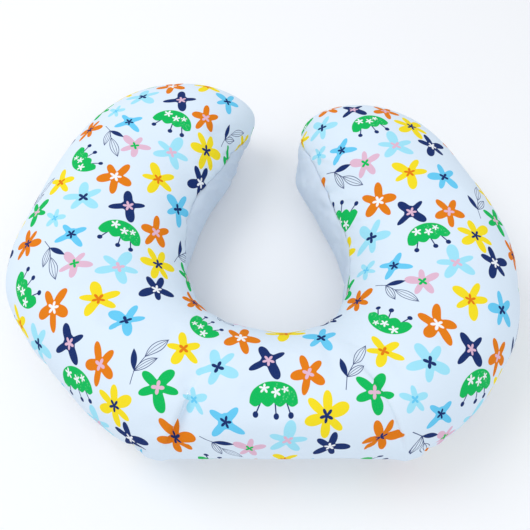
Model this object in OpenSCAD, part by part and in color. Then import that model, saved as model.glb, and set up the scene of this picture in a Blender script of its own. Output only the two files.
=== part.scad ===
// Nursing pillow: a fat U-shaped pillow in a removable cover.
// Origin: centre of its footprint, on the surface it rests on.
// +X runs across the arms, +Y points out of the open side of the U, +Z is up.

/* [Pillow] */
// Overall width across both arms
pillow_w = 560; // [520:10:600]
// Height of the crest above the side line
crest_rise = 72; // [70:1:76]
// Height of the side line above the table
side_h = 66; // [62:1:68]
// Length over which each arm's end rounds down
tip_round = 85; // [75:5:95]

/* [Seams] */
// How far the inner seam rides above the side line at its highest, in degrees
inner_seam_rise = 26; // [20:1:30]
// How far the outer seam lies below the side line, in degrees
outer_seam_drop = 34; // [32:1:36]

/* [Cloth] */
// Thickness of the cover's cotton
cover_t = 1.0; // [0.8:0.1:1.1]
// Thickness of the inner case's cloth
case_t = 0.8; // [0.6:0.1:0.8]
// Thickness of the sewing thread
thread_d = 0.8; // [0.6:0.1:0.9]
// Sewn length of the inner case's filling opening
closing_len = 120; // [90:10:150]

/* [Zip] */
// Length of the tooth chain
zip_len = 189; // [159:6:189]
// Spacing of the teeth on one tape
tooth_pitch = 3; // [3, 3.5]
// Width of each woven tape
tape_w = 12; // [10:1:13]
// Thickness of the tapes
tape_t = 0.6; // [0.5:0.1:0.7]
// Length of the slider along the zip
slider_len = 15; // [13:1:17]
// Length of the pull tab beyond its pivot
pull_len = 24; // [20:1:28]

/* [Hidden] */

// ---- Plan of the pillow ----
// The plan is drawn for this width and scaled to pillow_w.
plan_w = 560;
plan_k = pillow_w / plan_w;
// The back edge is straight here, so that the zip is straight too.
back_y = -204;
// Distance from the straight back edge to the crest above it
back_crest = 55;
// Ribs from the left tip, round the bend, to the right tip:
// inner edge x, y, outer edge x, y, and the share of inner_seam_rise reached there.
ribs = [
    [-62, 234, -62, 234, -0.6],
    [-26, 230, -124, 248, -0.6],
    [-6, 214, -184, 230, -0.45],
    [-26, 156, -232, 160, 0.35],
    [-68, 78, -264, 64, 0.85],
    [-86, 6, -280, -28, 0.27],
    [-76, -38, -246, -88, 0],
    [-60, -60, -202, -132, 0],
    [-40, -74, -154, -178, 0],
    [-22, -80, -106, back_y, 0],
    [-8, -84, -80, back_y, 0],
    [20, -90, 20, back_y, 0],
    [46, -84, 120, back_y, 0],
    [64, -78, 146, back_y, 0],
    [80, -64, 188, -180, 0],
    [90, -38, 228, -142, 0.25],
    [90, 10, 268, -78, 0.7],
    [66, 78, 282, 12, 0.95],
    [40, 136, 254, 96, 1],
    [44, 186, 216, 170, 0.1],
    [60, 210, 160, 212, -0.5],
    [100, 214, 100, 214, -0.6]];
last_rib = len(ribs) - 1;
mid_rib = 11;

inner_pts = [for (r = ribs) plan_k * [r[0], r[1]]];
outer_pts = [for (r = ribs) plan_k * [r[2], r[3]]];
back_shares = [for (r = ribs) r[3] == back_y ? 1 : 0];
rise_shares = [for (r = ribs) r[4]];

// Each line goes on past the tips, so that the outline turns smoothly there.
inner_line = concat([outer_pts[1]], inner_pts, [outer_pts[last_rib - 1]]);
outer_line = concat([inner_pts[1]], outer_pts, [inner_pts[last_rib - 1]]);
back_line = concat([0], back_shares, [0]);
rise_line = concat([rise_shares[0]], rise_shares, [rise_shares[last_rib]]);

// Smooth curve through a list of points or numbers, at rib number t
function spline(p, t) =
    let (i = min(floor(t), len(p) - 4), u = t - i,
        a = p[i], b = p[i + 1], c = p[i + 2], d = p[i + 3])
    0.5 * (2 * b + (c - a) * u + (2 * a - 5 * b + 4 * c - d) * u * u
        + (3 * b - a - 3 * c + d) * u * u * u);

// Stations along the arms, closer together near the tips and round the bend
tip_steps = 7;
function ease(s) = s * (0.3 + 0.7 * s);
stations = concat(
    [for (k = [0 : tip_steps - 1]) 2 * ease(k / tip_steps)],
    [for (t = [2 : 0.42 : last_rib - 2.2]) t],
    [for (k = [tip_steps : -1 : 0]) last_rib - 2 * ease(k / tip_steps)]);

// ---- Surface ----
// Crest of the pillow in plan: midway between the edges, but straight along the back
function crest(t) =
    let (m = (spline(inner_line, t) + spline(outer_line, t)) / 2)
    m + [0, spline(back_line, t) * (plan_k * (back_y + back_crest) - m.y)];

// Share of the full height at rib number t: a quarter circle down to each tip
function height_share(t) =
    let (m = crest(t),
        near = min(norm(m - inner_pts[0]), norm(m - inner_pts[last_rib])),
        s = min(1, near / tip_round))
    sqrt(max(0, 1 - (1 - s) * (1 - s)));

// Point on the skin: turn is 0 on the inner side line, 90 on the crest,
// 180 on the outer side line and 270 underneath, where it lies flat on the table.
function raw_skin(t, turn) =
    let (m = crest(t),
        e = spline(cos(turn) > 0 ? inner_line : outer_line, t),
        p = m + (e - m) * abs(cos(turn)),
        z = side_h + crest_rise * height_share(t) * sin(turn))
    [p.x, p.y, max(0, z)];

// The footprint's centre becomes the origin.
footprint = [for (t = stations, turn = [0, 180]) raw_skin(t, turn)];
centre = [
    (min([for (p = footprint) p.x]) + max([for (p = footprint) p.x])) / 2,
    (min([for (p = footprint) p.y]) + max([for (p = footprint) p.y])) / 2, 0];

function unit(v) = v / norm(v);

function skin_normal(t, turn) =
    let (dt = 0.01, da = 0.5, t0 = max(t - dt, 0), t1 = min(t + dt, last_rib))
    unit(cross(raw_skin(t, turn + da) - raw_skin(t, turn - da),
        raw_skin(t1, turn) - raw_skin(t0, turn)));

// At a tip, every turn meets in one point that faces out of the arm, square to its outline.
function tip_normal(t) =
    let (side = t < mid_rib ? inner_pts[1] - outer_pts[1]
            : outer_pts[last_rib - 1] - inner_pts[last_rib - 1])
    unit([-side.y, side.x, 0]);

function is_tip(t) = t < 0.001 || t > last_rib - 0.001;
function outward(t, turn) = is_tip(t) ? tip_normal(t) : skin_normal(t, turn);

// Point at a depth below the skin
function layer(t, turn, depth) = raw_skin(t, turn) - centre - depth * outward(t, turn);

// ---- Layers, as depths below the cover's outer face ----
case_depth = 4.2;
fill_depth = case_depth + case_t + 0.6;
seam_gap = 0.1;
cover_thread_depth = cover_t + 0.2 + thread_d / 2;
case_thread_depth = case_depth - 0.2 - thread_d / 2;

// ---- Zip position ----
zip_mid_x = plan_k * 20;
zip_x0 = zip_mid_x - zip_len / 2;
zip_x1 = zip_mid_x + zip_len / 2;
zip_turn = 180 + outer_seam_drop;
zip_slope = [plan_k * back_crest * sin(outer_seam_drop), crest_rise * cos(outer_seam_drop)];
mm_per_deg = norm(zip_slope) * PI / 180;
// Tilt of the zip's face: its outward side points back and down.
zip_tilt = 90 + atan2(zip_slope[0], zip_slope[1]);
// Half of the gap that the panels leave open for the zip
opening_half = 5.8;
// The gap stays full this far past the chain, and is shut this far past it.
opening_full = 12;
opening_end = 26;

// Skin beside the zip, where every cross-section is the same: y, z
function zip_skin(drop, depth) =
    let (a = plan_k * back_crest, b = crest_rise,
        n = unit([-b * cos(drop), -a * sin(drop)]))
    [plan_k * back_y + a * (1 - cos(drop)) - centre.y, side_h - b * sin(drop)] - depth * n;

function opening(t) =
    let (x = raw_skin(t, zip_turn).x,
        past = abs(x - zip_mid_x) - zip_len / 2,
        back = abs(t - mid_rib) < 5)
    back ? opening_half * min(1, max(0, (opening_end - past) / (opening_end - opening_full)))
        / mm_per_deg : 0;

function inner_seam(t) = inner_seam_rise * spline(rise_line, t);
function seam_gap_turn(t) = seam_gap / 2 / max(20, crest_rise * height_share(t)) * 180 / PI;

// ---- Building blocks ----
// Closed solid through rings of points that all have the same count.
// Each four-sided patch is cut along one diagonal, or along the other if flipped.
module loft(rings, capped = false, flipped = false) {
    n = len(rings);
    k = len(rings[0]);
    sides = [for (i = [0 : n - 2], j = [0 : k - 1])
        let (a = i * k + j, b = i * k + (j + 1) % k)
        each flipped ? [[a, b, a + k], [b, b + k, a + k]] : [[a, b, b + k], [a, b + k, a + k]]];
    caps = [[for (j = [k - 1 : -1 : 0]) j], [for (j = [0 : k - 1]) (n - 1) * k + j]];
    polyhedron([for (r = rings) each r], capped ? concat(sides, caps) : sides, convexity = 10);
}

// Cloth panel between two seams: starts and ends are its edges' turns at each station,
// and steps are the shares of the way across at which it bends.
module panel(starts, ends, steps, depth, thickness) {
    loft([for (i = [0 : len(stations) - 1])
        let (t = stations[i], turns = [for (s = steps) starts[i] + (ends[i] - starts[i]) * s])
        concat([for (a = turns) layer(t, a, depth + thickness)],
            [for (j = [len(turns) - 1 : -1 : 0]) layer(t, turns[j], depth)])]);
}

// Round thread along a list of [point, outward direction]
module thread(path, d, sides = 6) {
    n = len(path);
    loft([for (i = [0 : n - 1])
        let (p = path[i][0], out = path[i][1],
            along = unit(path[min(i + 1, n - 1)][0] - path[max(i - 1, 0)][0]),
            across = unit(cross(along, out)), up = cross(across, along))
        [for (j = [0 : sides - 1])
            p + d / 2 * (cos(j * 360 / sides) * up + sin(j * 360 / sides) * across)]], true);
}

// Places its children beside the zip: x along it, y up the skin, z out of the skin
module at_zip(x = 0) {
    p = zip_skin(outer_seam_drop, 0);
    translate([x, p[0], p[1]]) rotate([zip_tilt, 0, 0]) children();
}

module block(low, high) {
    translate(low) cube(high - low);
}

// ---- Cover ----
// Bend positions across a panel: even in the middle, close together at the outer seam
top_steps = [0, 0.09, 0.19, 0.29, 0.39, 0.49, 0.59, 0.69, 0.79, 0.87, 0.93, 0.97, 1];
bottom_steps = [for (j = [len(top_steps) - 1 : -1 : 0]) 1 - top_steps[j]];
even_steps = [for (j = [0 : 8]) j / 8];

module cover_top_panel() {
    color("aliceblue") panel(
        [for (t = stations) inner_seam(t) + seam_gap_turn(t)],
        [for (t = stations) zip_turn - max(opening(t), seam_gap_turn(t))],
        top_steps, 0, cover_t);
}

module cover_bottom_panel() {
    color("lavender") panel(
        [for (t = stations) zip_turn + max(opening(t), seam_gap_turn(t))],
        [for (t = stations) 360 + inner_seam(t) - seam_gap_turn(t)],
        bottom_steps, 0, cover_t);
}

// The seam runs from one end of the zip round both tips to its other end.
function seam_point(t, turn, depth) = [layer(t, turn, depth), outward(t, turn)];
module cover_seam_thread() {
    right = [for (t = stations) if (t > mid_rib && opening(t) == 0)
        seam_point(t, zip_turn, cover_thread_depth)];
    inside = [for (i = [len(stations) - 2 : -1 : 1])
        seam_point(stations[i], inner_seam(stations[i]), cover_thread_depth)];
    left = [for (t = stations) if (t < mid_rib && opening(t) == 0)
        seam_point(t, zip_turn, cover_thread_depth)];
    color("white") thread(concat(right, inside, left), thread_d);
}

// ---- Inner case and filling ----
module inner_case_top_panel() {
    color("white") panel(
        [for (t = stations) seam_gap_turn(t)],
        [for (t = stations) 180 - seam_gap_turn(t)], even_steps, case_depth, case_t);
}

module inner_case_bottom_panel() {
    color("whitesmoke") panel(
        [for (t = stations) 180 + seam_gap_turn(t)],
        [for (t = stations) 360 - seam_gap_turn(t)], even_steps, case_depth, case_t);
}

// The case's seam is open along the filling opening, on the outside of the right arm.
closing_t = last_rib - 4.5;
closing_x = raw_skin(closing_t, 180);
function by_closing(t) = t > mid_rib && norm(raw_skin(t, 180) - closing_x) < closing_len / 2;
module inner_case_seam_thread() {
    after = [for (t = stations) if (t > closing_t && !by_closing(t))
        seam_point(t, 180, case_thread_depth)];
    inside = [for (i = [len(stations) - 2 : -1 : 1]) seam_point(stations[i], 0, case_thread_depth)];
    before = [for (t = stations) if (t < closing_t && !by_closing(t))
        seam_point(t, 180, case_thread_depth)];
    color("gainsboro") thread(concat(after, inside, before), thread_d);
}

// Hand stitches across the closed filling opening, each a little slanted
closing_count = 14;
closing_span = 0.8;
closing_reach = 4;
closing_slant = 0.002;
module inner_case_closing_stitches() {
    color("silver") for (k = [0 : closing_count - 1]) {
        t = closing_t + closing_span * (k / (closing_count - 1) - 0.5);
        thread([for (a = [-closing_reach : 2 : closing_reach])
            seam_point(t + a * closing_slant, 180 + a, case_thread_depth)], thread_d);
    }
}

// The fill's patches are cut as the case's inner faces are, so the two stay evenly apart.
module fibre_fill() {
    steps = 2 * (len(even_steps) - 1);
    color("snow") loft([for (t = stations)
        [for (j = [0 : steps - 1]) layer(t, -j * 360 / steps, fill_depth)]], flipped = true);
}

// ---- Zip ----
// Heights out of the skin, measured at the zip's centre line
tape_depth = cover_t + 0.3;
chain_mid = -(tape_depth + tape_t / 2);
tooth_t = 2;
tooth_len = 1.2;
chain_half = 2.5;
slit_half = 0.5;
tape_gap = 0.25;
tape_end = 6;
tape_bends = 5;

// Woven tape that follows the curve of the skin, from beside the teeth to under the panel
module tape(side) {
    first = outer_seam_drop + side * (chain_half + tape_gap) / mm_per_deg;
    turn_step = side * (tape_w - chain_half) / mm_per_deg / tape_bends;
    ring = concat(
        [for (j = [0 : tape_bends]) zip_skin(first + j * turn_step, tape_depth)],
        [for (j = [tape_bends : -1 : 0]) zip_skin(first + j * turn_step, tape_depth + tape_t)]);
    loft([for (x = side > 0 ? [zip_x0 - tape_end, zip_x1 + tape_end]
            : [zip_x1 + tape_end, zip_x0 - tape_end])
        [for (p = ring) [x - centre.x, p[0], p[1]]]], true);
}

module zip_upper_tape() {
    color("white") tape(-1);
}

module zip_lower_tape() {
    color("white") tape(1);
}

tooth_count = floor(zip_len / tooth_pitch);
module teeth(side) {
    shift = side > 0 ? 0 : tooth_pitch / 2;
    for (k = [0 : tooth_count - 1]) at_zip(zip_x0 - centre.x + shift + k * tooth_pitch)
        block([0, min(side * slit_half, side * chain_half), chain_mid - tooth_t / 2],
            [tooth_len, max(side * slit_half, side * chain_half), chain_mid + tooth_t / 2]);
}

module zip_upper_teeth() {
    color("white") teeth(1);
}

module zip_lower_teeth() {
    color("white") teeth(-1);
}

// Row of machine stitches on the panel beside the zip
stitch_len = 2.2;
stitch_d = 0.5;
stitch_in = 2;
stitch_lift = 0.05;
module stitch_row(side) {
    drop = outer_seam_drop + side * (opening_half + stitch_in) / mm_per_deg;
    p = zip_skin(drop, -stitch_d / 2 - stitch_lift);
    for (k = [0 : tooth_count - 1])
        translate([zip_x0 - centre.x + k * tooth_pitch, p[0], p[1]])
            rotate([0, 90, 0]) cylinder(h = stitch_len, d = stitch_d, $fn = 6);
}

module zip_upper_stitching() {
    color("white") stitch_row(-1);
}

module zip_lower_stitching() {
    color("white") stitch_row(1);
}

// Stops at the two ends of the chain
stop_len = 2.4;
top_stop_gap = 1.8;
bottom_stop_gap = 0.6;
module zip_top_stops() {
    color("gainsboro") for (side = [-1, 1]) at_zip(zip_x1 - centre.x + top_stop_gap)
        block([0, min(side * slit_half, side * chain_half), chain_mid - tooth_t / 2],
            [stop_len, max(side * slit_half, side * chain_half), chain_mid + tooth_t / 2]);
}

module zip_bottom_stop() {
    color("gainsboro") at_zip(zip_x0 - centre.x - bottom_stop_gap - stop_len)
        block([0, -chain_half, chain_mid - tooth_t / 2], [stop_len, chain_half, chain_mid + tooth_t / 2]);
}

// Slider: two plates round the chain, joined by a wedge post in the slit between the rows
slider_x = zip_x1 - centre.x - slider_len / 2 - 1;
slider_half = 4.2;
flange_in = chain_half + 0.3;
top_low = chain_mid + tooth_t / 2 + 0.3;
top_high = top_low + 1;
bottom_high = chain_mid - tooth_t / 2 - 0.3;
bottom_low = bottom_high - 0.8;
slot_high = chain_mid + 0.55;
slot_low = chain_mid - 0.7;
post_half = 0.2;
module zip_slider_body() {
    h = slider_len / 2;
    color("ghostwhite") at_zip(slider_x) union() {
        block([-h, -slider_half, top_low], [h, slider_half, top_high]);
        block([-h, -slider_half, bottom_low], [h, slider_half, bottom_high]);
        for (side = [-1, 1]) {
            near = min(side * flange_in, side * slider_half);
            far = max(side * flange_in, side * slider_half);
            block([-h, near, slot_high], [h, far, top_low]);
            block([-h, near, bottom_high], [h, far, slot_low]);
        }
        block([h - 4, -post_half, bottom_high], [h, post_half, top_low]);
    }
}

// Bridge on the slider: two lugs and the pin that carries the pull tab
pin_r = 0.5;
pin_h = top_high + 1.5;
lug_in = 1.8;
lug_out = 2.6;
module zip_slider_bridge() {
    color("ghostwhite") at_zip(slider_x) union() {
        for (side = [-1, 1])
            block([-1.2, min(side * lug_in, side * lug_out), top_high],
                [1.2, max(side * lug_in, side * lug_out), pin_h + 0.8]);
        translate([0, -lug_in, pin_h]) rotate([-90, 0, 0])
            cylinder(h = 2 * lug_in, r = pin_r, $fn = 32);
    }
}

// Pull tab: an eye round the pin and a flat blade that lies back along the chain
eye_r = 1.1;
eye_half = 1.6;
blade_t = 1;
blade_half = 3;
pin_play = 0.06;
module zip_pull_tab() {
    color("ghostwhite") at_zip(slider_x) translate([0, 0, pin_h]) difference() {
        union() {
            translate([0, -eye_half, 0]) rotate([-90, 0, 0]) cylinder(h = 2 * eye_half, r = eye_r, $fn = 32);
            block([-5, -1.4, -blade_t / 2], [0, 1.4, blade_t / 2]);
            translate([0, 0, -blade_t / 2]) linear_extrude(blade_t) difference() {
                hull() {
                    translate([-5.5, 0]) circle(r = 2, $fn = 32);
                    translate([-pull_len + blade_half, 0]) circle(r = blade_half, $fn = 32);
                }
                translate([-pull_len + blade_half, 0]) circle(r = 1.4, $fn = 32);
            }
        }
        translate([0, -eye_half - 1, 0]) rotate([-90, 0, 0])
            cylinder(h = 2 * eye_half + 2, r = pin_r + pin_play, $fn = 32);
    }
}

cover_top_panel();
cover_bottom_panel();
cover_seam_thread();
inner_case_top_panel();
inner_case_bottom_panel();
inner_case_seam_thread();
inner_case_closing_stitches();
fibre_fill();
zip_upper_tape();
zip_lower_tape();
zip_upper_teeth();
zip_lower_teeth();
zip_upper_stitching();
zip_lower_stitching();
zip_top_stops();
zip_bottom_stop();
zip_slider_body();
zip_slider_bridge();
zip_pull_tab();
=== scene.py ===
"""Nursing pillow: printed cotton cover, inner case, fibre filling and zip."""

import math
from collections import namedtuple

import bpy
import numpy as np
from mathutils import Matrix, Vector


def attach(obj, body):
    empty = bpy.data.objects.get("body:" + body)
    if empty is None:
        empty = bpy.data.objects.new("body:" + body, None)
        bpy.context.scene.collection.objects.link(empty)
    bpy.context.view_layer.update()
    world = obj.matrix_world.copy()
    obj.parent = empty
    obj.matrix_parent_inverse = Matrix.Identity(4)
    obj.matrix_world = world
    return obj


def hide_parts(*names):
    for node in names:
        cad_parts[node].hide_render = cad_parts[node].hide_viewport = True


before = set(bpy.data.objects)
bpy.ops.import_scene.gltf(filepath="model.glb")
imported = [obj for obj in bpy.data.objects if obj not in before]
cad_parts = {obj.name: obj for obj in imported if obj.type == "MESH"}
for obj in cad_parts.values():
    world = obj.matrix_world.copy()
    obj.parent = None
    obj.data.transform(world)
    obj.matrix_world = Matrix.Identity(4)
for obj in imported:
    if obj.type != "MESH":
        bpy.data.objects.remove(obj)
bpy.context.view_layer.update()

MM = 0.001

# ---------------------------------------------------------------- plan of the pillow, in mm
BACK_Y = -204          # the back edge is straight here
BACK_CREST = 55        # from the back edge in to the crest
SIDE_H = 66            # side line above the table
CREST_RISE = 72        # crest above the side line
TIP_ROUND = 85         # length over which an arm's end rounds down
FLOOR_SOFT = 5         # the underside rounds on to the table over this height
FLOOR_SINK = 1.2       # what this rounding lifts the lowest points by
SEAM_RISE = 26         # the inner seam's highest turn above the side line, in degrees
SEAM_DROP = 34         # outer seam below the side line, in degrees
CROWDING = 0.6         # how much closer the mesh columns lie at the seams

# Ribs from the left tip, round the bend, to the right tip:
# inner edge x, y, outer edge x, y, and the share of SEAM_RISE reached there.
RIBS = np.array([
    [-62, 234, -62, 234, -0.6],
    [-26, 230, -124, 248, -0.6],
    [-6, 214, -184, 230, -0.45],
    [-26, 156, -232, 160, 0.35],
    [-68, 78, -264, 64, 0.85],
    [-86, 6, -280, -28, 0.27],
    [-76, -38, -246, -88, 0],
    [-60, -60, -202, -132, 0],
    [-40, -74, -154, -178, 0],
    [-22, -80, -106, BACK_Y, 0],
    [-8, -84, -80, BACK_Y, 0],
    [20, -90, 20, BACK_Y, 0],
    [46, -84, 120, BACK_Y, 0],
    [64, -78, 146, BACK_Y, 0],
    [80, -64, 188, -180, 0],
    [90, -38, 228, -142, 0.25],
    [90, 10, 268, -78, 0.7],
    [66, 78, 282, 12, 0.95],
    [40, 136, 254, 96, 1],
    [44, 186, 216, 170, 0.1],
    [60, 210, 160, 212, -0.5],
    [100, 214, 100, 214, -0.6]], float)
LAST = len(RIBS) - 1
MID = 11

INNER, OUTER = RIBS[:, 0:2], RIBS[:, 2:4]
INNER_LINE = np.vstack([OUTER[1], INNER, OUTER[-2]])
OUTER_LINE = np.vstack([INNER[1], OUTER, INNER[-2]])
BACK_LINE = np.pad((RIBS[:, 3] == BACK_Y).astype(float), 1)[:, None]
RISE_LINE = np.pad(RIBS[:, 4], 1, mode="edge")[:, None]


def unit(v):
    return v / np.maximum(np.linalg.norm(v, axis=-1, keepdims=True), 1e-9)


def smooth(x):
    x = np.clip(x, 0, 1)
    return x * x * (3 - 2 * x)


def spline(points, t):
    """Smooth curve through the points, at rib numbers t."""
    i = np.minimum(t.astype(int), len(points) - 4)
    u = (t - i)[:, None]
    a, b, c, d = points[i], points[i + 1], points[i + 2], points[i + 3]
    return 0.5 * (2 * b + (c - a) * u + (2 * a - 5 * b + 4 * c - d) * u ** 2
                  + (3 * b - a - 3 * c + d) * u ** 3)


def plan(t):
    """Inner edge, outer edge and crest in plan, and the share of the full height."""
    inner, outer = spline(INNER_LINE, t), spline(OUTER_LINE, t)
    crest = (inner + outer) / 2
    crest[:, 1] += spline(BACK_LINE, t)[:, 0] * (BACK_Y + BACK_CREST - crest[:, 1])
    near = np.minimum(np.linalg.norm(crest - INNER[0], axis=1),
                      np.linalg.norm(crest - INNER[-1], axis=1))
    share = np.sqrt(np.clip(1 - (1 - np.minimum(1, near / TIP_ROUND)) ** 2, 0, None))
    return inner, outer, crest, share


def on_floor(z):
    """Rounds heights near the table on to it."""
    soft = np.clip(z + FLOOR_SOFT, 0, 2 * FLOOR_SOFT) ** 2 / (4 * FLOOR_SOFT)
    return np.maximum(soft, z)


def skin(t, turn):
    """Points on the skin. turn: 0 on the inner side line, 90 on the crest, 180 outside, 270 below."""
    inner, outer, crest, share = plan(t)
    c, s = np.cos(np.radians(turn)), np.sin(np.radians(turn))
    edge = np.where(c[..., None] > 0, inner[:, None], outer[:, None])
    p = crest[:, None] + (edge - crest[:, None]) * np.abs(c)[..., None] - CENTRE
    z = SIDE_H + CREST_RISE * share[:, None] * s
    return np.dstack([p, on_floor(z)])


CENTRE = np.zeros(2)
sides = skin(np.linspace(0, LAST, 1201), np.tile([0.0, 180.0], (1201, 1)))[..., :2].reshape(-1, 2)
CENTRE = (sides.min(0) + sides.max(0)) / 2


def outward(t, turn):
    """Outward directions, square to the skin. The row at a tip is one point and has one direction."""
    dt, da = 0.01, 0.5     # small steps in rib number and in degrees
    before, after = np.maximum(t - dt, 0), np.minimum(t + dt, LAST)
    n = unit(np.cross(skin(t, turn + da) - skin(t, turn - da), skin(after, turn) - skin(before, turn)))
    for row, side in ((0, INNER[1] - OUTER[1]), (-1, OUTER[-2] - INNER[-2])):
        n[row] = unit(np.array([-side[1], side[0], 0.0]))
    return n


def stations(step):
    """Rib numbers whose crest points lie step mm apart."""
    t = np.linspace(0, LAST, 6001)
    crest = skin(t, np.full((len(t), 1), 90.0))[:, 0]
    length = np.append(0, np.cumsum(np.linalg.norm(np.diff(crest, axis=0), axis=1)))
    return np.interp(np.linspace(0, length[-1], round(length[-1] / step) + 1), length, t)


def shares(count):
    """Shares of the way across a panel, closer together at both seams."""
    s = np.linspace(0, 1, count)
    return s - CROWDING * np.sin(2 * np.pi * s) / (2 * np.pi)


# ---------------------------------------------------------------- zip opening
ZIP_MID = 20 - CENTRE[0]
ZIP_HALF = 94.5
OPENING = 5.8          # half the gap that the cover leaves for the zip
OPENING_FULL = 12      # the gap stays full this far past the tooth chain
OPENING_END = 26       # and is shut this far past it
ZIP_TURN = 180 + SEAM_DROP
MM_PER_DEG = math.radians(math.hypot(BACK_CREST * math.sin(math.radians(SEAM_DROP)),
                                     CREST_RISE * math.cos(math.radians(SEAM_DROP))))


def zip_past(t):
    """How far each station lies past the ends of the tooth chain, in mm."""
    seam = skin(t, np.full((len(t), 1), ZIP_TURN))[:, 0]
    return np.where(np.abs(t - MID) < 5, np.abs(seam[:, 0] - ZIP_MID) - ZIP_HALF, 999)


def open_share(t):
    return np.clip((OPENING_END - zip_past(t)) / (OPENING_END - OPENING_FULL), 0, 1)


def seam_turns(t):
    """Turns of the inner seam and of the top's and the bottom's edges at the outer seam."""
    inner = SEAM_RISE * spline(RISE_LINE, t)[:, 0]
    half = OPENING / MM_PER_DEG * open_share(t)
    return inner, ZIP_TURN - half, ZIP_TURN + half


# ---------------------------------------------------------------- flat print layout
BEND = -16             # how far the print turns inward on each arm, in degrees
BEND_LENGTH = 5        # ribs over which it turns
PRINT_W, PRINT_H = 191, 158        # the print repeats after this far in x and y


def turned(v, angle):
    c, s = np.cos(angle), np.sin(angle)
    return np.stack([c * v[:, 0] - s * v[:, 1], s * v[:, 0] + c * v[:, 1]], 1)


def print_angle(t):
    return np.radians(BEND) * (smooth((t - MID) / BEND_LENGTH) - smooth((MID - t) / BEND_LENGTH))


def crest_path():
    """The crest's line laid flat, with its full length where it curves down at the tips."""
    t = np.linspace(0, LAST, 4001)
    crest = skin(t, np.full((len(t), 1), 90.0))[:, 0]
    step = np.diff(crest, axis=0)
    stretch = np.linalg.norm(step, axis=1) / np.linalg.norm(step[:, :2], axis=1)
    middle = print_angle((t[1:] + t[:-1]) / 2)
    path = np.cumsum(turned(step[:, :2] * stretch[:, None], middle), axis=0)
    path = np.vstack([np.zeros(2), path])
    start = [np.interp(MID, t, crest[:, k]) - np.interp(MID, t, path[:, k]) for k in (0, 1)]
    return t, path + start


CREST_T, CREST_PATH = crest_path()


def end_layout(points, tip):
    """Where the cloth over an arm's end lay: straight out from the crest behind it."""
    t = np.linspace(tip, MID, 2001)
    crest = skin(t, np.full((len(t), 1), 90.0))[:, 0, :2]
    behind = np.argmax(np.linalg.norm(crest - crest[0], axis=1) > TIP_ROUND)
    start = [np.interp(t[behind], CREST_T, CREST_PATH[:, k]) for k in (0, 1)]
    out = points[..., :2] - crest[behind]
    # The skin comes down from there in nearly an ellipse. arc is its mean length per radian of
    # lean, as a share of the ellipse's reach
    away = np.maximum(np.linalg.norm(out, axis=-1), 0.01)
    lean = np.arccos(np.clip((points[..., 2] - SIDE_H) / CREST_RISE, -0.99, 0.9999))
    steep = CREST_RISE * np.sin(lean) / away
    part = lean[..., None] * (np.arange(20) + 0.5) / 20
    arc = np.sqrt(np.cos(part) ** 2 + (steep[..., None] * np.sin(part)) ** 2).mean(-1)
    straight = turned(out.reshape(-1, 2), print_angle(t[behind])).reshape(out.shape)
    return start + straight * (arc * lean / np.sin(lean))[..., None]


def flat_layout(t, turn, points):
    """Where the cloth's points lay in the flat print, in mm."""
    inner, outer, _, _ = plan(t)
    across = outer - inner
    across[0], across[-1] = across[1], across[-2]
    across = turned(unit(across), print_angle(t))
    centre = np.stack([np.interp(t, CREST_T, CREST_PATH[:, k]) for k in (0, 1)], 1)
    length = np.linalg.norm(np.diff(points, axis=1), axis=2)
    along = np.hstack([np.zeros((len(t), 1)), np.cumsum(length, axis=1)])
    at_crest = np.array([np.interp(90, a, b) for a, b in zip(turn, along)])
    flat = centre[:, None] + across[:, None] * (along - at_crest[:, None])[..., None]
    # The layout of an arm's end takes over from 1.2 to 0.7 times TIP_ROUND before its tip
    crest = skin(t, np.full((len(t), 1), 90.0))[:, 0, :2]
    for tip in (0, LAST):
        near = np.linalg.norm(crest - (INNER[tip] - CENTRE), axis=1)
        share = smooth((1.2 * TIP_ROUND - near) / (0.5 * TIP_ROUND))
        flat += share[:, None, None] * (end_layout(points, tip) - flat)
    return flat


# ---------------------------------------------------------------- creases and puckers
def pinches(seed, length, spacing, depth, width, reach):
    """Small tucks along a seam: place, depth, width, reach and slant of each, in mm."""
    rng = np.random.default_rng(seed)
    place = np.cumsum(rng.uniform(*spacing, size=int(length / spacing[0])))
    place = place[place < length]
    n = len(place)
    return np.stack([place, rng.uniform(*depth, n), rng.uniform(*width, n), rng.uniform(*reach, n),
                     rng.uniform(-0.45, 0.45, n)], 1)


def tucks(along, away, rows):
    """Depth of the tucks at points that far along the seam and away from it."""
    total = np.zeros_like(away)
    for place, depth, width, reach, slant in rows:
        near = np.abs(along - place).min(axis=1) < 5 * width + 2 * reach
        side = (along[near] - place - slant * away[near]) / (width * (1 + away[near] / reach))
        total[near] += depth * np.exp(-side ** 2 - (away[near] / reach) ** 2)
    return total


def waves(x, y, seed, length, count=5):
    """Soft unevenness of a stuffed piece, from -1 to 1, with bumps about length mm across."""
    rng = np.random.default_rng(seed)
    total = np.zeros_like(x)
    for _ in range(count):
        way, phase = rng.uniform(0, 2 * np.pi, 2)
        size = length * rng.uniform(0.7, 1.5)
        total += np.sin((x * np.cos(way) + y * np.sin(way)) * np.pi / size + phase)
    return total / count


# Longer soft creases in plan: x and y of both ends, depth and width, in mm
CREASES = [
    (18, -62, 26, -112, 3.0, 5.0),
    (4, -66, -6, -96, 1.6, 4.0),
    (40, -58, 58, -96, 1.4, 4.0),
    (-60, -6, -96, 8, 1.8, 5.0),
    (-34, 78, -62, 66, 2.0, 4.5),
    (-30, 96, -52, 92, 1.6, 4.0),
    (-150, -120, -128, -84, 2.0, 6.0),
    (-96, -172, -84, -120, 2.2, 6.0),
    (-40, -186, -46, -134, 1.6, 6.0),
    (66, -186, 58, -128, 2.0, 6.0),
    (128, -178, 110, -128, 2.4, 6.0),
    (178, -150, 150, -112, 2.2, 6.0),
    (214, -96, 176, -74, 1.6, 6.0),
    (74, 6, 104, 14, 1.8, 4.5),
    (58, 62, 88, 60, 1.8, 4.5),
    (-214, -60, -176, -40, 1.6, 6.0)]


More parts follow.
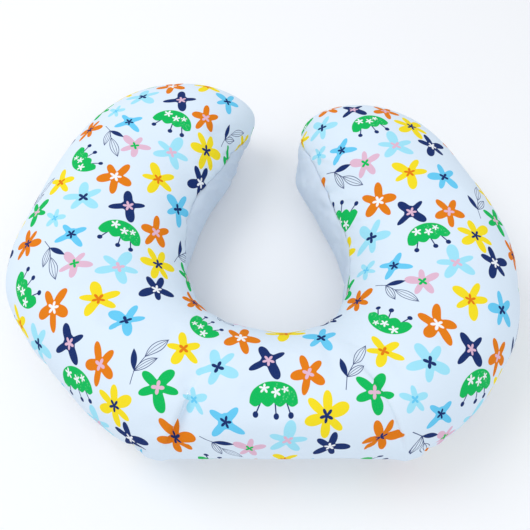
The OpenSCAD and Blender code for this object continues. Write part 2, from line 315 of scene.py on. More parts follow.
def creases(points):
    """Depth of the soft creases at points of the upper side."""
    total = np.zeros(points.shape[:2])
    place = points[..., :2]
    for x0, y0, x1, y1, depth, width in CREASES:
        start, way = np.array([x0, y0]), np.array([x1 - x0, y1 - y0])
        share = ((place - start) @ way) / (way @ way)
        past = place - start - share[..., None] * way
        fade = np.sin(np.pi * np.clip(share, 0, 1)) ** 0.7
        total += depth * fade * np.exp(-(past ** 2).sum(-1) / width ** 2)
    return total


INNER_TUCKS = np.vstack([pinches(3, 1200, (9, 24), (0.4, 1.4), (2.0, 4.0), (8, 22)),
                         pinches(4, 1200, (35, 80), (1.0, 3.0), (4.0, 8.0), (20, 45))])
OUTER_TUCKS = np.vstack([pinches(7, 1900, (9, 26), (0.6, 2.0), (2.2, 4.6), (12, 30)),
                         pinches(8, 1900, (28, 62), (2.0, 4.6), (5.0, 11.0), (22, 48))])
GROOVE = 2.4           # depth of the dip along a seam
GROOVE_REACH = 3.2
UNEVEN = 0.9           # height of the filling's soft bumps
UNEVEN_SIZE = 45


def relief(t, points, seam_open, top):
    """How far the cover's cloth lies inside the smooth skin, in mm."""
    length = np.linalg.norm(np.diff(points, axis=1), axis=2)
    from_first = np.hstack([np.zeros((len(t), 1)), np.cumsum(length, axis=1)])
    from_last = from_first[:, -1:] - from_first
    total = np.zeros(points.shape[:2])
    inner_away, outer_away = (from_first, from_last) if top else (from_last, from_first)
    for away, column, seam_tucks, shut in (
            (inner_away, 0 if top else -1, INNER_TUCKS, np.ones(len(t))),
            (outer_away, -1 if top else 0, OUTER_TUCKS, 1 - seam_open)):
        edge = points[:, column]
        along = np.append(0, np.cumsum(np.linalg.norm(np.diff(edge, axis=0), axis=1)))[:, None]
        total += GROOVE * shut[:, None] * np.exp(-away / GROOVE_REACH)
        total += tucks(along, away, seam_tucks) * (0.3 + 0.7 * shut[:, None])
    return total


# ---------------------------------------------------------------- meshes
def grid_mesh(name, points, flat=None, loop=False):
    """Mesh through rows of points. The first and the last row are single points, at the tips.

    flat holds the points' places in the flat cloth, in mm, for the print.
    """
    rows, columns = points.shape[:2]
    index = np.arange(rows * columns).reshape(rows, columns) - (columns - 1)
    index[0], index[-1] = 0, index[-2, -1] + 1
    place = np.vstack([points[:1, 0], points[1:-1].reshape(-1, 3), points[-1:, 0]]) * MM
    across = np.arange(columns if loop else columns - 1)
    beside = (across + 1) % columns
    i, j = np.meshgrid(np.arange(rows - 1), across, indexing="ij")
    k = np.broadcast_to(beside, i.shape)
    corners = [(i, j), (i, k), (i + 1, k), (i + 1, j)]
    faces, spots = [], []
    for row in range(rows - 1):
        keep = [0, 2, 3] if row == 0 else [0, 1, 2] if row == rows - 2 else [0, 1, 2, 3]
        used = [(corners[c][0][row], corners[c][1][row]) for c in keep]
        faces += np.stack([index[corner] for corner in used], 1).tolist()
        if flat is not None:
            spots.append(np.stack([flat[corner] for corner in used], 1).reshape(-1, 2))
    mesh = bpy.data.meshes.new(name)
    mesh.from_pydata(place.tolist(), [], faces)
    if flat is not None:
        layer = mesh.uv_layers.new(name="flat")
        layer.data.foreach_set("uv", (np.vstack(spots) * MM).astype(np.float32).ravel())
    mesh.polygons.foreach_set("use_smooth", [True] * len(mesh.polygons))
    piece = bpy.data.objects.new(name, mesh)
    bpy.context.scene.collection.objects.link(piece)
    return piece


def cloth(piece, thickness):
    """Gives the cloth its thickness, inwards."""
    solid = piece.modifiers.new("thickness", "SOLIDIFY")
    solid.thickness = thickness * MM
    solid.offset = -1
    solid.use_even_offset = True
    return piece


def finish_piece(piece, body, slot, material, *nodes):
    piece.data.materials.clear()
    piece.data.materials.append(material)
    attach(piece, body)
    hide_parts(*nodes)
    return piece


# ---------------------------------------------------------------- materials
def paint(red, green, blue):
    """A colour of 0 to 255 as the linear one that a shader takes."""
    return tuple(c / 255 / 12.92 if c <= 10 else ((c / 255 + 0.055) / 1.055) ** 2.4
                 for c in (red, green, blue)) + (1.0,)


class Nodes:
    """Short way to write a material's nodes."""

    def __init__(self, name):
        self.material = bpy.data.materials.new(name)
        self.material.use_nodes = True
        self.tree = self.material.node_tree
        self.shader = self.tree.nodes["Principled BSDF"]

    def feed(self, socket, source):
        if isinstance(source, bpy.types.NodeSocket):
            self.tree.links.new(source, socket)
        else:
            socket.default_value = source

    def math(self, operation, *sources, clamp=False):
        node = self.tree.nodes.new("ShaderNodeMath")
        node.operation = operation
        node.use_clamp = clamp
        for socket, source in zip(node.inputs, sources):
            self.feed(socket, source)
        return node.outputs[0]

    def mix(self, share, first, second):
        node = self.tree.nodes.new("ShaderNodeMix")
        node.data_type = "RGBA"
        self.feed(node.inputs[0], share)
        self.feed(node.inputs[6], first)
        self.feed(node.inputs[7], second)
        return node.outputs[2]

    def noise(self, vector, scale, detail=2.0, roughness=0.5):
        node = self.tree.nodes.new("ShaderNodeTexNoise")
        self.feed(node.inputs["Vector"], vector)
        node.inputs["Scale"].default_value = scale
        node.inputs["Detail"].default_value = detail
        node.inputs["Roughness"].default_value = roughness
        return node.outputs[0]

    def ramp(self, value, low, high, to_low=0.0, to_high=1.0):
        node = self.tree.nodes.new("ShaderNodeMapRange")
        for socket, source in zip(node.inputs, (value, low, high, to_low, to_high)):
            self.feed(socket, source)
        return node.outputs[0]

    def length(self, x, y):
        join = self.tree.nodes.new("ShaderNodeCombineXYZ")
        self.feed(join.inputs[0], x)
        self.feed(join.inputs[1], y)
        size = self.tree.nodes.new("ShaderNodeVectorMath")
        size.operation = "LENGTH"
        self.feed(size.inputs[0], join.outputs[0])
        return size.outputs["Value"]

    def object_place(self):
        return self.tree.nodes.new("ShaderNodeTexCoord").outputs["Object"]

    def flat_place(self):
        """Place in the flat cloth, in mm, as two numbers."""
        uv = self.tree.nodes.new("ShaderNodeUVMap")
        uv.uv_map = "flat"
        split = self.tree.nodes.new("ShaderNodeSeparateXYZ")
        self.feed(split.inputs[0], uv.outputs[0])
        return (self.math("MULTIPLY", split.outputs[0], 1 / MM),
                self.math("MULTIPLY", split.outputs[1], 1 / MM), uv.outputs[0])

    def bump(self, height, distance, strength=1.0, under=None):
        node = self.tree.nodes.new("ShaderNodeBump")
        node.inputs["Strength"].default_value = strength
        node.inputs["Distance"].default_value = distance * MM
        self.feed(node.inputs["Height"], height)
        if under is not None:
            self.feed(node.inputs["Normal"], under)
        return node.outputs[0]

    def done(self, colour, roughness, normal=None, **fixed):
        self.feed(self.shader.inputs["Base Color"], colour)
        self.feed(self.shader.inputs["Roughness"], roughness)
        if normal is not None:
            self.feed(self.shader.inputs["Normal"], normal)
        for name, value in fixed.items():
            self.shader.inputs[name.replace("_", " ")].default_value = value
        return self.material


ORANGE, YELLOW, NAVY = paint(228, 124, 6), paint(246, 222, 30), paint(18, 44, 104)
SKY, PALE_BLUE = paint(104, 202, 240), paint(160, 226, 244)
GREEN, PINK, WHITE = paint(2, 186, 88), paint(226, 184, 206), paint(243, 245, 248)
CLOTH = paint(222, 235, 247)
PALE_GREEN = paint(110, 214, 146)

# Flowers of the print: x, y, petals, radius, turn in degrees, petal colour, centre colour
FLOWERS = [
    (23, 83, 5, 20, 10, PALE_BLUE, PINK),
    (57, 108, 6, 20, 24, YELLOW, NAVY),
    (41, 142, 5, 18, 40, ORANGE, PINK),
    (5, 155, 4, 18.5, 28, NAVY, PINK),
    (98, 125, 5, 18, 62, GREEN, PINK),
    (66, 75, 5, 18, 80, NAVY, WHITE),
    (54, 27, 5, 18, 15, SKY, NAVY),
    (21, 43, 5, 19, 50, YELLOW, ORANGE),
    (114, 5, 5, 18, 31, YELLOW, ORANGE),
    (171, 25, 5, 20.5, 66, ORANGE, WHITE),
    (175, 72, 5, 16, 5, PINK, GREEN),
    (158, 102, 4, 17, 50, SKY, NAVY),
    (131, 117, 5, 12.5, 20, PALE_BLUE, SKY),
    (110, 85, 6, 17.5, 8, ORANGE, NAVY),
    (150, 148, 5, 20, 44, PALE_BLUE, NAVY)]
# Bell flowers: x, y and turn in degrees
BELLS = [(10, 124, 0), (127, 36, 139)]
# Sprigs: x, y of the node, and the ways of the stem's foot, the filled leaf, the first outlined leaf,
# the upper stem, its length, and the way of the last leaf
SPRIGS = [(75, 138, -99, 103, 34, 60, 14, 53), (142, 83, 146, -12, -85, -59, 11.5, -54)]
PETAL_POWER = {4: 4.2, 5: 1.9, 6: 1.3}     # more makes petals slimmer, by their number
INK_SOFT = 0.35                            # width of an ink's soft edge, in mm


class Print(Nodes):
    """The printed cotton: motifs are laid one by one over the pale cloth."""

    def __init__(self, name):
        super().__init__(name)
        self.u, self.v, self.uv = self.flat_place()
        cells = self.tree.nodes.new("ShaderNodeTexVoronoi")
        cells.inputs["Scale"].default_value = 450
        self.feed(cells.inputs["Vector"], self.uv)
        self.specks = self.math("SUBTRACT", 1.0, cells.outputs["Distance"])
        self.colour = CLOTH

    def ink(self, inside, colour):
        """Prints where inside, a distance in mm from the shape's edge, is above 0."""
        share = self.math("MULTIPLY_ADD", inside, 1 / INK_SOFT, 0.5, clamp=True)
        self.colour = self.mix(share, self.colour, colour)

    def place(self, x, y):
        """Distances from the nearest repeat of a motif's centre."""
        dx = self.math("SUBTRACT", self.math("WRAP", self.u, x + PRINT_W / 2, x - PRINT_W / 2), x)
        dy = self.math("SUBTRACT", self.math("WRAP", self.v, y + PRINT_H / 2, y - PRINT_H / 2), y)
        return dx, dy

    def turned(self, dx, dy, x, y, degrees):
        """The same place measured from (x, y), along and across a direction."""
        c, s = math.cos(math.radians(degrees)), math.sin(math.radians(degrees))
        along = self.math("MULTIPLY_ADD", dy, s, -(x * c + y * s))
        along = self.math("MULTIPLY_ADD", dx, c, along)
        across = self.math("MULTIPLY_ADD", dy, c, x * s - y * c)
        across = self.math("MULTIPLY_ADD", dx, -s, across)
        return along, across

    def petals(self, radius, angle, count, size, turn, waist, power):
        """Inside distance of a ring of petals, which join at waist times their length."""
        wave = self.math("MULTIPLY_ADD", angle, count / 2, -math.radians(turn) * count / 2)
        wave = self.math("POWER", self.math("ABSOLUTE", self.math("COSINE", wave)), power)
        reach = self.math("MULTIPLY_ADD", wave, size * (1 - waist), size * waist)
        return self.math("SUBTRACT", reach, radius)

    def flower(self, number, x, y, count, size, turn, colour, centre):
        """Petals that differ a little in width and length, and short strokes at the centre."""
        dx, dy = self.place(x, y)
        radius = self.length(dx, dy)
        angle = self.math("ARCTAN2", dy, dx)
        sway = self.math("SINE", self.math("MULTIPLY_ADD", angle, 2.0, 1.7 * number))
        bent = self.math("MULTIPLY_ADD", sway, 0.13, angle)
        longer = self.math("SINE", self.math("MULTIPLY_ADD", angle, 3.0, 2.3 * number))
        scaled = self.math("MULTIPLY", radius, self.math("MULTIPLY_ADD", longer, 0.1, 1.0))
        self.ink(self.petals(scaled, bent, count, size, turn, 0.38, PETAL_POWER[count]), colour)
        strokes = 4 + number % 2
        self.ink(self.petals(radius, angle, strokes, 0.31 * size, turn + 25, 0.3, 1.6), centre)

    def dot(self, dx, dy, x, y, radius, colour):
        away = self.length(self.math("SUBTRACT", dx, x), self.math("SUBTRACT", dy, y))
        self.ink(self.math("SUBTRACT", radius, away), colour)

    def stroke(self, dx, dy, start, end, half, colour):
        """A straight line with round ends."""
        (x0, y0), (x1, y1) = start, end
        size = math.hypot(x1 - x0, y1 - y0)
        along, across = self.turned(dx, dy, x0, y0, math.degrees(math.atan2(y1 - y0, x1 - x0)))
        nearest = self.math("MINIMUM", self.math("MAXIMUM", along, 0.0), size)
        past = self.math("SUBTRACT", along, nearest)
        self.ink(self.math("SUBTRACT", half, self.length(past, across)), colour)

    def bell(self, x, y, turn):
        """A round flower head seen from the side, with a scalloped hem and three stamens."""
        dx, dy = self.place(x, y)
        side, up = self.turned(dx, dy, 0, 0, turn)
        for foot, lean in ((-11, -34), (1, 8), (11, 28)):
            lean = math.radians(lean)
            tip = (foot + 9.5 * math.sin(lean), -7.5 - 9.5 * math.cos(lean))
            self.stroke(side, up, (foot, -5), tip, 0.6, NAVY)
            self.dot(side, up, *tip, 2.5, NAVY)
        rise = self.math("ADD", up, 6.5)
        scallop = self.math("ABSOLUTE", self.math("SINE", self.math("MULTIPLY", side, math.pi / 11)))
        hem = self.math("MULTIPLY_ADD", scallop, 3.0, rise)
        lift = self.math("MULTIPLY", self.math("MAXIMUM", rise, 0.0), 1.15)
        inside = self.math("MINIMUM", self.math("SUBTRACT", 21.5, self.length(side, lift)), hem)
        self.ink(inside, GREEN)
        # Pale specks, on one half of the head
        speck = self.math("SUBTRACT", self.specks, 0.78)
        speck = self.math("MINIMUM", speck, self.math("MULTIPLY", side, 0.2))
        self.ink(self.math("MINIMUM", speck, self.math("SUBTRACT", inside, 2.0)), PALE_GREEN)
        for bx, by, size in ((-8.5, 5.0, 4.8), (2.0, 1.5, 4.4), (10.0, 4.0, 3.4)):
            from_x = self.math("SUBTRACT", side, bx)
            from_y = self.math("SUBTRACT", up, by)
            angle = self.math("ARCTAN2", from_y, from_x)
            radius = self.length(from_x, from_y)
            self.ink(self.petals(radius, angle, 5, size, 20 + 9 * bx, 0.25, 1.5), WHITE)

    def leaf(self, dx, dy, base, degrees, size, half, filled):
        """A pointed leaf, filled in or drawn as an outline with two long veins."""
        along, across = self.turned(dx, dy, *base, degrees)
        wide = self.math("MULTIPLY", along, self.math("MULTIPLY_ADD", along, -1 / size, 1.0))
        wide = self.math("MULTIPLY", wide, 4 * half / size)
        away = self.math("ABSOLUTE", across)
        inside = self.math("SUBTRACT", wide, away)
        if filled:
            self.ink(inside, NAVY)
            return
        line = self.math("SUBTRACT", 0.34, self.math("ABSOLUTE", inside))
        vein = self.math("MULTIPLY_ADD", wide, 0.36, self.math("MULTIPLY", away, -1.0))
        vein = self.math("SUBTRACT", 0.26, self.math("ABSOLUTE", vein))
        self.ink(self.math("MAXIMUM", line, vein), NAVY)

    def sprig(self, x, y, stem, filled, first, link, link_length, second):
        """A stem with a filled leaf and an outlined one, and a longer outlined one further up."""
        dx, dy = self.place(x, y)
        stem, link = math.radians(stem), math.radians(link)
        fork = (link_length * math.cos(link), link_length * math.sin(link))
        self.stroke(dx, dy, (11 * math.cos(stem), 11 * math.sin(stem)), (0, 0), 0.34, NAVY)
        self.stroke(dx, dy, (0, 0), fork, 0.34, NAVY)
        self.leaf(dx, dy, (0, 0), filled, 19.5, 2.8, True)
        self.leaf(dx, dy, (0, 0), first, 21, 3.4, False)
        self.leaf(dx, dy, fork, second, 26, 4.2, False)


def weave(nodes, u, v, pitch=0.55):
    """Over and under of a plain weave, from 0 to 1."""
    first = nodes.math("SINE", nodes.math("MULTIPLY", u, math.pi / pitch))
    second = nodes.math("SINE", nodes.math("MULTIPLY", v, math.pi / pitch))
    return nodes.math("MULTIPLY_ADD", nodes.math("MULTIPLY", first, second), 0.5, 0.5)


def printed_cotton():
    ink = Print("printed_cotton")
    for number, flower in enumerate(FLOWERS):
        ink.flower(number, *flower)
    for bell in BELLS:
        ink.bell(*bell)
    for sprig in SPRIGS:
        ink.sprig(*sprig)
    brush = ink.noise(ink.uv, 900, 3.0, 0.6)
    worn = ink.ramp(brush, 0.4, 0.75, 0.0, 0.025)
    colour = ink.mix(worn, ink.colour, CLOTH)
    threads = weave(ink, ink.u, ink.v)
    rumple = ink.noise(ink.uv, 60, 3.0, 0.55)
    normal = ink.bump(threads, 0.05, 0.35)
    normal = ink.bump(rumple, 0.6, 0.3, normal)
    return ink.done(colour, 0.86, normal, Specular_IOR_Level=0.1)


def plain_cotton():
    cloth_nodes = Nodes("plain_cotton")
    u, v, uv = cloth_nodes.flat_place()
    soft = cloth_nodes.noise(uv, 12, 2.0)
    # Both tones are darker and greyer than the print's ground (CLOTH), though it is the same pale
    # cotton. This is painted shade for the inner walls, and the bottom panel gets it too. The noise
    # mixes the two tones at random.
    colour = cloth_nodes.mix(soft, paint(205, 218, 233), paint(214, 225, 238))
    threads = weave(cloth_nodes, u, v)
    rumple = cloth_nodes.noise(uv, 60, 3.0, 0.55)
    normal = cloth_nodes.bump(threads, 0.05, 0.35)
    normal = cloth_nodes.bump(rumple, 0.6, 0.3, normal)
    return cloth_nodes.done(colour, 0.86, normal, Specular_IOR_Level=0.15)


def simple(name, low, high, scale, roughness, depth, **fixed):
    """A finish with slight changes of colour and a fine uneven surface."""
    nodes = Nodes(name)
    place = nodes.object_place()
    grain = nodes.noise(place, scale, 3.0, 0.6)
    colour = nodes.mix(grain, low, high)
    rough = nodes.ramp(grain, 0.3, 0.7, roughness - 0.06, roughness + 0.06)
    return nodes.done(colour, rough, nodes.bump(grain, depth, 0.5), **fixed)


PRINTED = printed_cotton()
PLAIN_COTTON_PAINTED_SHADE = plain_cotton()
THREAD = simple("sewing_thread", paint(238, 240, 244), paint(250, 250, 252), 1500, 0.6, 0.1)
CASE = simple("case_cloth", paint(240, 240, 238), paint(250, 250, 248), 700, 0.85, 0.2)
FIBRE = simple("polyester_fibre", paint(243, 243, 240), paint(255, 255, 255), 150, 0.9, 1.5)
TAPE = simple("zip_tape", paint(236, 238, 242), paint(248, 249, 251), 1200, 0.75, 0.2)
PLASTIC = simple("zip_plastic", paint(240, 242, 245), paint(250, 250, 252), 400, 0.35, 0.05)
METAL = simple("slider_metal", paint(238, 240, 243), paint(248, 249, 250), 300, 0.3, 0.05)

# ---------------------------------------------------------------- stuffed shape, by cloth simulation
SIM_STEP = 7           # between rows
SIM_TOP, SIM_BOTTOM = 40, 30       # columns of the two panels
SIM_FRAMES = 20
SIM_CAP = 5.5          # the furthest that the cloth moves
HOLD_PAST = 40         # the cloth is held this far past the tooth chain
HOLD_TURN = 26         # and this many degrees above and below it


def vertex_group(piece, name, weights):
    group = piece.vertex_groups.new(name=name)
    for level in np.unique(weights[weights > 0]):
        group.add(np.flatnonzero(weights == level).tolist(), float(level), "REPLACE")
    return name


def stuffed_shape():
    """Stations, and how far the cover's cloth moves from the smooth skin there, top and bottom."""
    t = stations(SIM_STEP)
    inner, _, _ = seam_turns(t)
    outer = np.full(len(t), float(ZIP_TURN))
    top = inner[:, None] + (outer - inner)[:, None] * np.linspace(0, 1, SIM_TOP + 1)
    bottom = outer[:, None] + (360 + inner - outer)[:, None] * np.linspace(0, 1, SIM_BOTTOM + 1)
    turn = np.hstack([top[:, :-1], bottom[:, :-1]])
    start = skin(t, turn)
    move = np.zeros_like(start)
    piece = grid_mesh("stuffed", start, loop=True)
    count = len(piece.data.vertices)
    columns = turn.shape[1]
    seam = np.zeros(turn.shape)
    seam[:, [0, SIM_TOP]] = 1
    near_zip = (zip_past(t) < HOLD_PAST)[:, None] & (np.abs(turn - ZIP_TURN) < HOLD_TURN)
    held = (near_zip | (start[..., 2] < 1)).astype(float)

    def per_vertex(values):
        return np.concatenate([values[0, :1], values[1:-1].ravel(), values[-1, :1]])

    sim = piece.modifiers.new("stuffing", "CLOTH")
    settings = sim.settings
    settings.use_pressure = True
    settings.uniform_pressure_force = 4
    settings.mass = 0.15
    settings.tension_stiffness = settings.compression_stiffness = 30
    settings.bending_stiffness = 0.4
    # The cloth grows by 3.5% and its seams shrink by 9%, so it bulges and puckers between them
    settings.shrink_min = -0.035
    settings.shrink_max = 0.09
    settings.vertex_group_shrink = vertex_group(piece, "seam", per_vertex(seam))
    settings.vertex_group_mass = vertex_group(piece, "held", per_vertex(held))
    settings.effector_weights.gravity = 0
    for number in range(1, SIM_FRAMES + 1):
        bpy.context.scene.frame_set(number)
    shaped = piece.evaluated_get(bpy.context.evaluated_depsgraph_get())
    place = np.empty(count * 3, np.float32)
    shaped.data.vertices.foreach_get("co", place)
    place = place.reshape(-1, 3).astype(float) / MM
    bpy.context.scene.frame_set(1)
    bpy.data.objects.remove(piece)
    body = place[1:-1].reshape(-1, columns, 3)
    ends = np.repeat(place[[0, -1]][:, None], columns, axis=1)
    move = np.concatenate([ends[:1], body, ends[1:]]) - start
    normal = outward(t, turn)
    # The mean swelling is taken away again, so the pillow keeps its size
    rise = (move * normal).sum(2)
    free = held == 0
    move -= normal * rise[free].mean() * free[..., None]
    size = np.linalg.norm(move, axis=2, keepdims=True)
    move *= SIM_CAP / np.maximum(SIM_CAP, size)
    move[[0, -1]] = 0
    return t, move[:, :SIM_TOP + 1], np.concatenate([move[:, SIM_TOP:], move[:, :1]], axis=1)


def between(where, count):
    """Weights that take count evenly numbered values to the places where, along a smooth curve."""
    first = np.clip(np.floor(where).astype(int), 0, count - 2)
    u = where - first
    parts = (-u + 2 * u ** 2 - u ** 3, 2 - 5 * u ** 2 + 3 * u ** 3, u + 4 * u ** 2 - 3 * u ** 3,
             u ** 3 - u ** 2)
    weights = np.zeros((len(where), count))
    for offset, part in zip((-1, 0, 1, 2), parts):
        np.add.at(weights, (np.arange(len(where)), np.clip(first + offset, 0, count - 1)), part / 2)
    return weights


# ---------------------------------------------------------------- cover
ROW_STEP = 2.9
TOP_COLUMNS, BOTTOM_COLUMNS = 108, 90
COVER_THICKNESS = 1.0
CALM_END = 70          # the cloth lies smooth at the zip, up to this far past its chain
CALM_FADE = 40         # over this last stretch the creases come back
CALM_REACH = 26        # and over about this distance away from the zip

Panel = namedtuple("Panel", "turn points normal flat depth")

rows = stations(ROW_STEP)
inner_turn, top_turn, bottom_turn = seam_turns(rows)
zip_open = open_share(rows)
sim_rows, top_move, bottom_move = stuffed_shape()
row_weights = between(np.interp(rows, sim_rows, np.arange(len(sim_rows))), len(sim_rows))


def cover_panel(start, end, columns, top):
    """A panel of the cover, with the depth of its cloth inside the smooth skin."""
    across = shares(columns)
    turn = start[:, None] + (end - start)[:, None] * across
    smooth_skin = skin(rows, turn)
    normal = outward(rows, turn)
    flat = flat_layout(rows, turn, smooth_skin)
    move = top_move if top else bottom_move
    column_weights = between(across * (move.shape[1] - 1), move.shape[1])
    sway = np.einsum("ri,ijk,cj->rck", row_weights, move, column_weights)
    from_zip = np.abs(turn - ZIP_TURN) * MM_PER_DEG
    beside_zip = smooth((CALM_END - zip_past(rows)) / CALM_FADE)[:, None]
    calm = 1 - beside_zip * np.exp(-(from_zip / CALM_REACH) ** 2)
    inside = relief(rows, smooth_skin, zip_open, top)
    if top:
        inside += creases(smooth_skin)
    inside -= UNEVEN * waves(flat[..., 0], flat[..., 1], 11, UNEVEN_SIZE)
    inside *= calm
    points = smooth_skin - normal * inside[..., None] + sway
    points[..., 2] = on_floor(points[..., 2] - FLOOR_SINK)
    depth = ((smooth_skin - points) * normal).sum(2)
    return Panel(turn, points, normal, flat, depth)


top_part = cover_panel(inner_turn, top_turn, TOP_COLUMNS, True)
bottom_part = cover_panel(bottom_turn, 360 + inner_turn, BOTTOM_COLUMNS, False)
top_cloth = grid_mesh("cover_top_cloth", top_part.points, top_part.flat)
bottom_cloth = grid_mesh("cover_bottom_cloth", bottom_part.points, bottom_part.flat)
for piece in (top_cloth, bottom_cloth):
    cloth(piece, COVER_THICKNESS)
finish_piece(top_cloth, "pillow", "printed_cotton", PRINTED, "cover_top_panel")
finish_piece(bottom_cloth, "pillow", "plain_cotton", PLAIN_COTTON_PAINTED_SHADE, "cover_bottom_panel")

# ---------------------------------------------------------------- inner case and filling
CASE_DEPTH, CASE_THICKNESS = 4.2, 0.8
CASE_COLUMNS = 84
FILL_DEPTH = 6.2
FILL_COLUMNS = 120
TUFT_HEIGHT, TUFT_SIZE = 0.5, 14
case_rows = rows[::2]
cover_turns = np.hstack([top_part.turn, bottom_part.turn])[::2]
cover_depths = np.hstack([top_part.depth, bottom_part.depth])[::2]


def inner_layer(turn, depth):
    """Points of a layer that follows the cover's dents from below."""
    dent = np.array([np.interp(a, b, c, period=360) for a, b, c in zip(turn, cover_turns, cover_depths)])
    points = skin(case_rows, turn) - outward(case_rows, turn) * (depth + dent)[..., None]
    points[..., 2] = np.maximum(points[..., 2], depth)
    return points


def case_part(name, start, end, node):
    turn = np.tile(np.linspace(start, end, CASE_COLUMNS), (len(case_rows), 1))
    piece = cloth(grid_mesh(name, inner_layer(turn, CASE_DEPTH)), CASE_THICKNESS)
    return finish_piece(piece, "pillow", "case_cloth", CASE, node)


case_top = case_part("inner_case_top_cloth", 0.1, 179.9, "inner_case_top_panel")
case_bottom = case_part("inner_case_bottom_cloth", 180.1, 359.9, "inner_case_bottom_panel")

fill_turn = np.tile(np.arange(FILL_COLUMNS) * 360 / FILL_COLUMNS, (len(case_rows), 1))
fill_points = inner_layer(fill_turn, FILL_DEPTH)
tufts = waves(fill_points[..., 0], fill_points[..., 1] + fill_points[..., 2], 21, TUFT_SIZE, 9)
fill_points += outward(case_rows, fill_turn) * (TUFT_HEIGHT * tufts)[..., None]
filling = grid_mesh("fibre_filling", fill_points, loop=True)
finish_piece(filling, "pillow", "polyester_fibre", FIBRE, "fibre_fill")

# ---------------------------------------------------------------- sewing
STITCH_SIDES = 6
# Length, gap and radius of a stitch, in mm
SEAM_STITCH = (2.4, 0.7, 0.3)
ZIP_STITCH = (2.3, 0.7, 0.26)
HAND_STITCH = (0.3, 0.35)          # a hand stitch is as long as its slant


def stitches(path, out, length, gap, radius):
    """Short thread bars along a path: corners and faces. Each dips into the cloth at both ends."""
    along = np.append(0, np.cumsum(np.linalg.norm(np.diff(path, axis=0), axis=1)))
    start = np.arange(gap, along[-1] - length, length + gap)
    share = np.array([0, 0.22, 0.78, 1.0])
    at = (start[:, None] + length * share).ravel()
    centre = np.stack([np.interp(at, along, path[:, k]) for k in range(3)], 1)
    up = unit(np.stack([np.interp(at, along, out[:, k]) for k in range(3)], 1))
    before = np.stack([np.interp(at - 0.5, along, path[:, k]) for k in range(3)], 1)
    after = np.stack([np.interp(at + 0.5, along, path[:, k]) for k in range(3)], 1)
    side = unit(np.cross(after - before, up))
    up = np.cross(side, unit(after - before))
    lift = np.tile([-0.8, 0.2, 0.2, -0.8], len(start))[:, None] * radius
    thick = np.tile([0.45, 1, 1, 0.45], len(start))[:, None, None] * radius
    turn = np.arange(STITCH_SIDES) * 2 * np.pi / STITCH_SIDES
    ring = up[:, None] * np.cos(turn)[:, None] + side[:, None] * np.sin(turn)[:, None]
    corners = ((centre + up * lift)[:, None] + ring * thick).reshape(-1, 3)
    n = STITCH_SIDES
    one = [[r * n + k, r * n + (k + 1) % n, (r + 1) * n + (k + 1) % n, (r + 1) * n + k]
           for r in range(3) for k in range(n)]
    one += [list(range(n))[::-1], list(range(3 * n, 4 * n))]
    faces = [[index + 4 * n * number for index in face] for number in range(len(start)) for face in one]
    return corners, faces


def sewn(name, lines, body, slot, *nodes):
    """One piece from several lines of stitches."""
    corners, faces = [], []
    total = 0
    for line_corners, line_faces in lines:
        corners.append(line_corners)
        faces += [[index + total for index in face] for face in line_faces]
        total += len(line_corners)
    mesh = bpy.data.meshes.new(name)
    mesh.from_pydata((np.vstack(corners) * MM).tolist(), [], faces)
    mesh.polygons.foreach_set("use_smooth", [True] * len(mesh.polygons))
    piece = bpy.data.objects.new(name, mesh)
    bpy.context.scene.collection.objects.link(piece)
    return finish_piece(piece, body, slot, THREAD, *nodes)


inner_path = (top_part.points[:, 0] + bottom_part.points[:, -1]) / 2
inner_out = unit(top_part.normal[:, 0] + bottom_part.normal[:, -1])
outer_path = (top_part.points[:, -1] + bottom_part.points[:, 0]) / 2
outer_out = unit(top_part.normal[:, -1] + bottom_part.normal[:, 0])
shut = zip_open == 0
cover_lines = []
for path, out, keep in ((inner_path, inner_out, rows > 0),
                        (outer_path, outer_out, shut & (rows < MID)),
                        (outer_path, outer_out, shut & (rows > MID))):
    cover_lines.append(stitches(path[keep] - 0.4 * out[keep], out[keep], *SEAM_STITCH))
sewn("cover_seam_stitches", cover_lines, "pillow", "sewing_thread", "cover_seam_thread")

CLOSING_T = LAST - 4.5             # rib number at the middle of the closed filling opening
CLOSING_HALF = 60
closing_place = skin(np.array([CLOSING_T]), np.array([[180.0]]))[0, 0]


def case_path(turn):
    column = np.full((len(case_rows), 1), float(turn))
    return inner_layer(column, CASE_DEPTH - 0.2)[:, 0], outward(case_rows, column)[:, 0]


case_lines = [stitches(*case_path(0), *SEAM_STITCH)]
path, out = case_path(180)
closing = (case_rows > MID) & (np.linalg.norm(path - closing_place, axis=1) < CLOSING_HALF)
for keep in (~closing & (case_rows < CLOSING_T), ~closing & (case_rows > CLOSING_T)):
    case_lines.append(stitches(path[keep], out[keep], *SEAM_STITCH))
sewn("inner_case_seam_stitches", case_lines, "pillow", "sewing_thread", "inner_case_seam_thread")

# Hand stitches over the closing: each slants from one panel to the other
slanted = []
for index in np.flatnonzero(closing)[::3]:
    ends = skin(case_rows[index:index + 2], np.array([[176.0], [184.0]]))[:, 0]
    dent = np.interp(180, cover_turns[index], cover_depths[index])
    bar = np.linspace(*ends, 6) - out[index] * (CASE_DEPTH - 0.2 + dent)
    size = np.linalg.norm(ends[1] - ends[0])
    slanted.append(stitches(bar, np.tile(out[index], (6, 1)), size - 1, *HAND_STITCH))
sewn("inner_case_closing", slanted, "pillow", "sewing_thread", "inner_case_closing_stitches")

# ---------------------------------------------------------------- zip
STITCH_IN = 2.0        # from the cloth's edge in to its line of stitches
full = zip_open == 1
for name, part, edge, node in (("zip_upper_stitches", top_part, -1, "zip_upper_stitching"),
                               ("zip_lower_stitches", bottom_part, 0, "zip_lower_stitching")):
    order = slice(None, None, -1) if edge else slice(None)
    points, out = part.points[full][:, order], part.normal[full, edge]
    length = np.linalg.norm(np.diff(points, axis=1), axis=2)
    away = np.hstack([np.zeros((len(points), 1)), np.cumsum(length, axis=1)])
    path = np.stack([[np.interp(STITCH_IN, a, p) for a, p in zip(away, points[..., k])]
                     for k in range(3)], 1)
    sewn(name, [stitches(path + 0.05 * out, out, *ZIP_STITCH)], "pillow", "sewing_thread", node)


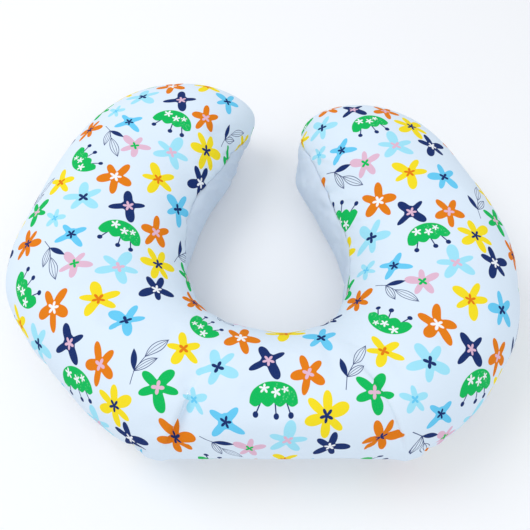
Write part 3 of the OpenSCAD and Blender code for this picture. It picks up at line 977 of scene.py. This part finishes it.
def finish_node(node, material, bevel):
    """A CAD piece that stays, with soft edges and its own finish."""
    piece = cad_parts[node]
    piece.data.materials.clear()
    piece.data.materials.append(material)
    edges = piece.modifiers.new("soft edges", "BEVEL")
    edges.width = bevel * MM
    edges.segments = 2
    edges.limit_method = "ANGLE"
    edges.angle_limit = math.radians(40)


for side in ("upper", "lower"):
    finish_node(f"zip_{side}_tape", TAPE, 0.12)
    finish_node(f"zip_{side}_teeth", PLASTIC, 0.3)
for node in ("zip_top_stops", "zip_bottom_stop"):
    finish_node(node, PLASTIC, 0.3)
for node, bevel in (("zip_slider_body", 0.25), ("zip_slider_bridge", 0.2), ("zip_pull_tab", 0.2)):
    finish_node(node, METAL, bevel)

# ---------------------------------------------------------------- stage, lights and camera
bpy.ops.mesh.primitive_plane_add(size=8, location=(0, 0, -0.0005))
floor = bpy.context.object
floor.name = "floor"
floor_nodes = Nodes("floor")
floor.data.materials.append(floor_nodes.done(paint(250, 250, 251), 0.9))

world = bpy.data.worlds.new("studio")
bpy.context.scene.world = world
world.use_nodes = True
world.node_tree.nodes["Background"].inputs["Color"].default_value = (0.93, 0.96, 1.0, 1.0)
world.node_tree.nodes["Background"].inputs["Strength"].default_value = 0.8


def area_light(name, place, target, size, power, colour):
    light = bpy.data.lights.new(name, "AREA")
    light.shape = "DISK"
    light.size = size
    light.energy = power
    light.color = colour
    lamp = bpy.data.objects.new(name, light)
    bpy.context.scene.collection.objects.link(lamp)
    lamp.location = place
    direction = np.array(target) - np.array(place)
    lamp.rotation_euler = Vector(direction).to_track_quat("-Z", "Y").to_euler()


area_light("key", (-0.9, 0.3, 1.6), (0, 0, 0.05), 1.0, 8.5, (1.0, 0.99, 0.98))
area_light("fill", (0.5, -1.0, 1.5), (0, 0, 0.05), 1.4, 4.0, (0.97, 0.98, 1.0))

bpy.context.scene.view_settings.view_transform = "Standard"
bpy.context.scene.view_settings.look = "None"

camera_data = bpy.data.cameras.new("camera")
camera_data.sensor_width = 36
camera_data.lens = 42.1132
camera = bpy.data.objects.new("camera", camera_data)
bpy.context.scene.collection.objects.link(camera)
camera.location = (0.002, -0.3473, 0.6831)
aim = Vector((0.002, -0.0213, 0.070)) - camera.location
camera.rotation_euler = aim.to_track_quat("-Z", "Y").to_euler()
bpy.context.scene.camera = camera
